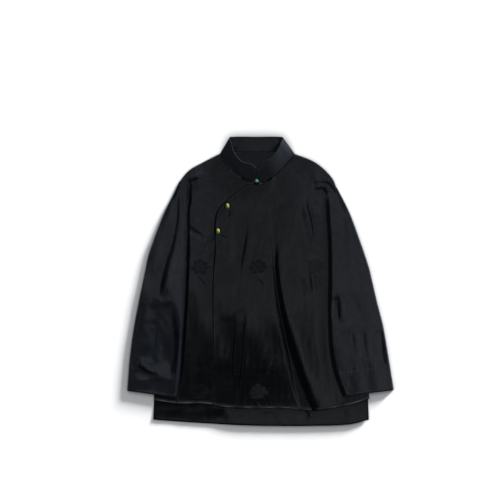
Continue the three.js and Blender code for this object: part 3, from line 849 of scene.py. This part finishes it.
def newMaterial(name):
    material = bpy.data.materials.new(name)
    material.use_nodes = True
    tree = material.node_tree
    tree.nodes.clear()
    return material, tree


def split(tree, vector):
    node = tree.nodes.new("ShaderNodeSeparateXYZ")
    tree.links.new(vector.socket, node.inputs[0])
    return Wire(node.outputs[0]), Wire(node.outputs[1]), Wire(node.outputs[2])


def noise(tree, vector, scale, detail=2.0, roughness=0.5):
    return Wire.make(tree, "ShaderNodeTexNoise", {},
                     {"Vector": vector, "Scale": scale, "Detail": detail, "Roughness": roughness})


def stretched(tree, vector, scale):
    return Wire.make(tree, "ShaderNodeMapping", {}, {"Vector": vector, "Scale": scale})


def blend(tree, factor, first, second):
    return Wire.make(tree, "ShaderNodeMix", {"data_type": "RGBA"}, {0: factor, 6: first, 7: second}, out=2)


def finishMaterial(tree, colour, roughness, normal, **constants):
    sockets = {"Base Color": colour, "Roughness": roughness}
    if normal is not None:
        sockets["Normal"] = normal
    sockets.update(constants)
    shader = Wire.make(tree, "ShaderNodeBsdfPrincipled", {}, sockets)
    tree.links.new(shader.socket, tree.nodes.new("ShaderNodeOutputMaterial").inputs["Surface"])


# Satin with tone-on-tone blossoms. Lengths are in metres.
satinFacts = {
    "ground": (0.0012, 0.0014, 0.0018, 1),
    "groundLight": (0.0031, 0.0036, 0.0043, 1),
    "blossom": (0.0014, 0.0015, 0.0019, 1),
    "blossomLow": (0.0075, 0.0073, 0.0088, 1),      # in the lower row, where they catch more light
    "roughness": 0.145,
    "blossomRoughness": 0.6,
    "weave": 0.00045,       # width of one float of the weave
    "weaveScale": 6.2,      # turns that width into the scale of the bands
    "slub": (14, 420, 1), "cloud": (22, 60, 1),     # noise stretched along the threads
    "mottle": 65.0, "broad": 5.0,
    "slubShine": 0.12, "broadShine": 0.10,
    "wobble": 0.008, "wobbleScale": 70.0,           # how far a blossom's outline wanders
    "bump": 0.8,
    # soft steps over a place or a noise: start, stop, value before and value after
    "threads": (-0.08, -0.18, 0.12, 0.75),          # towards the hem, threads show more than mottling
    "lowRow": (-0.05, -0.12),
    "middle": (0.06, 0.09, 1.0, 0.25),
    # painted sheen: in the lower row only the middle blossom shows, and only where the mottling lets it
    "lowRowSheen": (0.42, 0.58, 0.4, 1.0),
    "leftFade": (0.08, 0.12, 1.0, 0.4),
    # painted light: where the front turns lighter and bluer, towards its sides and top
    "paintedLightReach": (0.13, 0.26),
    "repeatX": 0.142, "repeatY": 0.306,
    "firstX": -0.006, "firstY": 0.034,
    "slubDepth": 0.00004, "blossomDepth": 0.00006, "weaveDepth": 0.00002,
    "stems": [    # from, to, thickness and strength of the stems and leaves round a blossom
        ((-0.004, -0.022), (0.015, -0.041), 0.0026, 1.0), ((0.006, -0.034), (0.015, -0.043), 0.0030, 1.0),
        ((0.010, 0.010), (0.031, 0.075), 0.0008, 0.5), ((0.026, 0.060), (0.037, 0.082), 0.0036, 0.5),
        ((0.020, 0.046), (0.034, 0.050), 0.0018, 0.5), ((-0.036, 0.048), (-0.050, 0.074), 0.0016, 0.4),
        ((-0.040, 0.046), (-0.062, 0.062), 0.0016, 0.4), ((-0.044, 0.042), (-0.068, 0.048), 0.0016, 0.4),
    ],
}

blossomPetals = [    # centre and half size of each petal, in millimetres
    (-14, -1, 9, 8), (15, 1, 10, 6), (-9, 9, 9, 8), (10, 9, 9, 7),
    (1, 13, 8, 8), (-8, -9, 10, 7), (6, -9, 10, 6), (0, 2, 8, 8),
]


def blossom(tree, x, y):
    # a round blossom of overlapping petals with fine lines where they meet
    body = None
    lines = None
    for px, py, rx, ry in blossomPetals:
        u = (x - px * mm) / (rx * mm)
        v = (y - py * mm) / (ry * mm)
        radius = (u * u + v * v) ** 0.5
        inside = radius.rise(1.06, 0.94)
        rim = (radius - 0.96).sum("ABSOLUTE").rise(0.0, 0.16)
        body = inside if body is None else body.sum("MAXIMUM", inside)
        lines = rim if lines is None else lines * (rim * 0.5 + 0.5)
    return body * lines


def leaf(tree, x, y, start, stop, width):
    # a narrow leaf or stem from one place to another
    dx = stop[0] - start[0]
    dy = stop[1] - start[1]
    length = math.hypot(dx, dy)
    along = ((x - start[0]) * dx + (y - start[1]) * dy) / length ** 2
    aside = ((x - start[0]) * -dy + (y - start[1]) * dx) / length
    half = (along * (1.0 - along)).sum("MAXIMUM", 0.0) ** 0.6 * width * 2
    return (aside.sum("ABSOLUTE") - half).rise(0.0, -0.0007)


def repeated(value, first, repeat):
    # where a place lies from the middle of its repeat
    return ((value - first + repeat / 2) / repeat + 10.0).sum("FRACT") * repeat - repeat / 2


def blossoms(tree, place, x, y, mottle):
    # the woven figure all over a front, how much of it shows, and its tone; its lighter tone in the lower
    # row is painted sheen
    facts = satinFacts
    cellX = repeated(x, facts["firstX"], facts["repeatX"])
    cellY = repeated(y, facts["firstY"], facts["repeatY"])
    wobble = noise(tree, place, facts["wobbleScale"], 1.0)
    wx = cellX + (wobble - 0.5) * facts["wobble"]
    wy = cellY + (wobble - 0.5) * -facts["wobble"]
    figure = blossom(tree, wx, wy)
    for start, stop, width, weight in facts["stems"]:
        figure = figure.sum("MAXIMUM", leaf(tree, wx, wy, start, stop, width) * weight)
    low = y.rise(*facts["lowRow"])
    middle = (x - facts["firstX"]).sum("ABSOLUTE").rise(*facts["middle"])
    # painted sheen: in the lower row the blossoms show only in the middle, broken by the mottling, in their
    # lighter tone
    lowRowSheen = 1.0 - low * (1.0 - middle * mottle.rise(*facts["lowRowSheen"]))
    shown = lowRowSheen * x.rise(*facts["leftFade"])
    return figure, shown, blend(tree, low, facts["blossom"], facts["blossomLow"])


def satin(name, tone=(1, 1, 1), shine=0.2, motifs=True, uneven=0.5):
    facts = satinFacts
    material, tree = newMaterial(name)
    cut = Wire.make(tree, "ShaderNodeUVMap", {"uv_map": "cut"})
    place = Wire.make(tree, "ShaderNodeTexCoord", {}, {}, out=3)
    broad = noise(tree, place, facts["broad"], 2.0)
    slub = noise(tree, stretched(tree, cut, facts["slub"]), 1.0, 3.0, 0.6)
    cloudy = noise(tree, stretched(tree, cut, facts["cloud"]), 1.0, 2.0)
    mottle = noise(tree, place, facts["mottle"], 3.0, 0.6)
    share = 0.2
    if motifs:
        x, y, _ = split(tree, place)
        share = y.rise(*facts["threads"])
    grain = (slub * 0.6 + cloudy * 0.4) * share + mottle * (1.0 - share)
    light = grain.rise(0.28, 0.72, 0.5 - uneven, 0.5 + uneven)
    colour = blend(tree, light, facts["ground"], facts["groundLight"])
    roughness = facts["roughness"] + (slub - 0.5) * facts["slubShine"] + (broad - 0.5) * facts["broadShine"]
    height = slub * facts["slubDepth"]
    if motifs:
        figure, shown, figureTone = blossoms(tree, place, x, y, mottle)
        colour = blend(tree, figure * shown, colour, figureTone)
        roughness = roughness + figure * shown * (facts["blossomRoughness"] - facts["roughness"])
        height = height + figure * facts["blossomDepth"]
    warp = Wire.make(tree, "ShaderNodeTexWave", {"wave_type": "BANDS", "bands_direction": "X"},
                     {"Vector": stretched(tree, cut, (1, 0.12, 1)),
                      "Scale": 1 / facts["weave"] / facts["weaveScale"],
                      "Distortion": 2.5, "Detail": 1.0}, out=1)
    height = height + warp * facts["weaveDepth"]
    if motifs:
        # painted light: a front takes its lighter, bluer tone towards its sides and top, and stays darker
        # over its lower middle
        upper = ((x - 0.02).sum("ABSOLUTE") + y * 0.5).rise(*facts["paintedLightReach"])
        tone = blend(tree, upper, (1, 1, 1, 1), (*tone, 1))
    # painted light: the tone lightens and tints a piece's colour where it stands for more light falling on
    # it
    colour = Wire.make(tree, "ShaderNodeVectorMath", {"operation": "MULTIPLY"}, {0: colour, 1: tone})
    bump = Wire.make(tree, "ShaderNodeBump", {},
                     {"Height": height, "Strength": facts["bump"], "Distance": 1.0})
    finishMaterial(tree, colour, roughness, bump, **{"Specular IOR Level": shine})
    return material


materials = {
    "back": satin("backSatin", motifs=False),
    # painted light: the front is painted lighter and bluer towards its sides and top
    "front": satin("frontSatin", (1.8, 2.0, 2.25)),
    # painted light: the sleeves' satin is painted lighter and bluer than the body's
    "sleeve": satin("sleeveSatin", (1.95, 2.1, 2.35), 0.22, motifs=False, uneven=0.22),
    # painted light: the collar's satin is painted far lighter than the body's
    "collar": satin("collarSatin", (6.7, 6.5, 6.7), 0.12, motifs=False, uneven=0.15),
}

back.data.materials.append(materials["back"])
for piece in (frontLeft, frontRight):
    piece.data.materials.append(materials["front"])
for piece in sleeves.values():
    piece.data.materials.append(materials["sleeve"])
collar.data.materials.append(materials["collar"])
print("satin woven")

beadFacts = {
    "segments": 48, "rings": 24,
    "swirl": 0.12, "swirlScale": 260.0,
    "step": 0.12,           # how gradually one colour gives way to the other
    "depthScale": 900.0,
    "depthColour": (0.01, 0.03, 0.02, 1),
    "roughness": 0.12,
}


def beadMesh(name, node, material):
    low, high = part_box(node)
    middle = (low + high) / 2
    half = (high - low) / 2
    bm = bmesh.new()
    bmesh.ops.create_uvsphere(bm, u_segments=beadFacts["segments"], v_segments=beadFacts["rings"], radius=1)
    bmesh.ops.rotate(bm, verts=bm.verts, matrix=Matrix.Rotation(math.radians(90), 3, "X"))
    bmesh.ops.scale(bm, verts=bm.verts, vec=half)
    bmesh.ops.translate(bm, verts=bm.verts, vec=middle)
    mesh = bpy.data.meshes.new(name)
    for face in bm.faces:
        face.smooth = True
    bm.to_mesh(mesh)
    bm.free()
    mesh.materials.append(material)
    piece = bpy.data.objects.new(name, mesh)
    collection.objects.link(piece)
    return piece


def glassMaterial(name, node, upper, lower, change):
    # glass of two colours, which change at a share of the bead's length: two real colours, or, for the jade,
    # painted light over its upper part and painted shade below
    facts = beadFacts
    low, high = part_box(node)
    material, tree = newMaterial(name)
    place = Wire.make(tree, "ShaderNodeTexCoord", {}, {}, out=3)
    _, y, _ = split(tree, place)
    swirl = noise(tree, place, facts["swirlScale"], 3.0)
    level = (y - low.y) / (high.y - low.y) + (swirl - 0.5) * facts["swirl"]
    colour = blend(tree, level.rise(change - facts["step"], change + facts["step"]), lower, upper)
    deep = noise(tree, place, facts["depthScale"], 2.0)
    colour = blend(tree, deep.rise(0.45, 0.75, 0.0, 0.35), colour, facts["depthColour"])
    finishMaterial(tree, colour, facts["roughness"] + deep * 0.06, None,
                   **{"Coat Weight": 1.0, "Coat Roughness": 0.04, "IOR": 1.52})
    return material


gold = (0.20, 0.13, 0.03, 1)
leafGreen = (0.035, 0.20, 0.04, 1)
# painted light and shade: the neck bead's jade is painted lighter over its upper part and darker below
jadeLitTop = (0.03, 0.12, 0.08, 1)
jadeShadedBelow = (0.012, 0.08, 0.055, 1)
beads = {
    "bead_neck": beadMesh("neckBead", "bead_neck",
                          glassMaterial("jade", "bead_neck", jadeLitTop, jadeShadedBelow, 0.4)),
    "bead_upper": beadMesh("upperBead", "bead_upper",
                           glassMaterial("amberAndLeafUpper", "bead_upper", gold, leafGreen, 0.5)),
    "bead_lower": beadMesh("lowerBead", "bead_lower",
                           glassMaterial("amberAndLeafLower", "bead_lower", gold, leafGreen, 0.5)),
}
print("beads threaded")

# Cords and tack keep their solids, with a finish of their own.
cordFacts = {
    "dark": (0.0006, 0.0006, 0.0008, 1),
    "light": (0.0014, 0.0014, 0.0018, 1),
    "roughness": 0.75,
    "shine": 0.12,
    "nodes": ("loop_neck", "loop_upper", "loop_lower", "stem_neck_right", "stem_neck_left",
              "stem_upper", "stem_lower", "tack"),
}
cordMaterial, cordTree = newMaterial("blackCord")
cordPlace = Wire.make(cordTree, "ShaderNodeTexCoord", {}, {}, out=3)
twist = noise(cordTree, stretched(cordTree, cordPlace, (900, 900, 300)), 1.0, 1.0)
cordBump = Wire.make(cordTree, "ShaderNodeBump", {}, {"Height": twist, "Strength": 0.5, "Distance": 0.0003})
cordColour = blend(cordTree, twist, cordFacts["dark"], cordFacts["light"])
finishMaterial(cordTree, cordColour, cordFacts["roughness"], cordBump,
               **{"Specular IOR Level": cordFacts["shine"]})
for node in cordFacts["nodes"]:
    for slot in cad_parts[node].material_slots:
        slot.material = cordMaterial

# The node that each cloth piece stands for, its flat size, its area and what it rests on.
stands = {
    back: ("back", (0.53, 0.68), 0.30, ["floor"]),
    frontRight: ("front_right", (0.26, 0.62), 0.083, ["backPanel"]),
    frontLeft: ("front_left", (0.39, 0.64), 0.198, ["backPanel", "rightFront"]),
    sleeves["sleeve_right"]: ("sleeve_right", (0.26, 0.53), 0.105, ["rightFront"]),
    sleeves["sleeve_left"]: ("sleeve_left", (0.26, 0.53), 0.102, ["leftFront"]),
}
for piece, (node, flat, area, under) in stands.items():
    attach(piece, "root")
    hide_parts(node)
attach(collar, "root")
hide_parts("collar")
for node, piece in beads.items():
    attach(piece, "root")
    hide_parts(node)

studio = {
    "frameWidth": 1.225,        # what the camera takes in, in metres
    "frameCentre": (-0.0257, 0.0770),
    "lens": 85,
    "skyLight": 0.04,
    "paper": (0.925, 0.925, 0.925, 1),
    "paperLight": (0.935, 0.935, 0.935, 1),
    "shadowReach": 0.08,    # how far from the cloth the floor darkens
    "shadowPower": 1.3,
}
bm = bmesh.new()
bmesh.ops.create_grid(bm, x_segments=1, y_segments=1, size=4)
floorMesh = bpy.data.meshes.new("floor")
bm.to_mesh(floorMesh)
bm.free()
floor = bpy.data.objects.new("floor", floorMesh)
collection.objects.link(floor)
floorMaterial, floorTree = newMaterial("paleFloor")
floorPlace = Wire.make(floorTree, "ShaderNodeTexCoord", {}, {}, out=3)
openness = Wire.make(floorTree, "ShaderNodeAmbientOcclusion", {"samples": 16},
                     {"Distance": studio["shadowReach"]}, out=1)
paper = blend(floorTree, noise(floorTree, floorPlace, 3.0), studio["paper"], studio["paperLight"])
floorColour = blend(floorTree, openness ** studio["shadowPower"], (0, 0, 0, 1), paper)
finishMaterial(floorTree, floorColour, 0.9, None, **{"Specular IOR Level": 0.1})
floor.data.materials.append(floorMaterial)

camera = bpy.data.objects.new("camera", bpy.data.cameras.new("camera"))
collection.objects.link(camera)
camera.data.lens = studio["lens"]
distance = studio["frameWidth"] * studio["lens"] / camera.data.sensor_width
camera.location = (*studio["frameCentre"], distance)
camera.data.clip_end = 20
bpy.context.scene.camera = camera


def areaLight(name, place, target, size, power, colour):
    lamp = bpy.data.lights.new(name, "AREA")
    lamp.shape = "RECTANGLE"
    lamp.size, lamp.size_y = size
    lamp.energy = power
    lamp.color = colour
    holder = bpy.data.objects.new(name, lamp)
    collection.objects.link(holder)
    holder.location = place
    holder.rotation_euler = (Vector(target) - Vector(place)).to_track_quat("-Z", "Y").to_euler()


lampHeight = 3.5
lampColour = (0.95, 0.99, 1.07)


def softbox(name, left, low, right, high, power):
    # a lamp facing straight down, by its corners
    size = (right - left, high - low)
    middle = ((left + right) / 2, (low + high) / 2)
    areaLight(name, (*middle, lampHeight), (*middle, 0), size, power * size[0] * size[1], lampColour)


softboxes = {    # left, low, right and high edge, and power per square metre
    "overheadLeft": (-0.85, -0.28, -0.2, 1.35, 2.5),
    "overheadMiddle": (-0.2, 0.05, 0.3, 1.35, 0.65),
    "overheadLow": (-0.2, -0.48, 0.3, 0.05, 2.1),
    "overheadRight": (0.3, -0.28, 0.95, 1.35, 2.9),
    "rightLeg": (0.48, -0.95, 1.15, -0.28, 3.3),
    "rightWindow": (1.25, -1.0, 1.65, 0.5, 3.6),
    "leftLeg": (-1.3, -1.1, -0.85, -0.28, 1.4),
    "farStrip": (-0.8, 1.45, 0.8, 2.5, 15.0),
    "frontStrip": (0.05, -2.35, 0.3, -1.85, 17.0),
}
for name, lamp in softboxes.items():
    softbox(name, *lamp)


def sunLight(name, strength, spread, fromUp, fromEast):
    # a far lamp that leaves no reflection, by its angle from straight up and its bearing
    lamp = bpy.data.lights.new(name, "SUN")
    lamp.energy = strength
    lamp.angle = math.radians(spread)
    holder = bpy.data.objects.new(name, lamp)
    holder.rotation_euler = (0, math.radians(fromUp), math.radians(fromEast))
    holder.visible_glossy = False
    collection.objects.link(holder)


sunLight("key", 15.6, 15, 90 - 9.5, 48)
sunLight("fill", 0.75, 60, 45, -90)

world = bpy.data.worlds.new("studio")
world.use_nodes = True
world.node_tree.nodes["Background"].inputs["Color"].default_value = (1, 1, 1, 1)
world.node_tree.nodes["Background"].inputs["Strength"].default_value = studio["skyLight"]
bpy.context.scene.world = world
bpy.context.scene.view_settings.view_transform = "Standard"

print("scene ready")
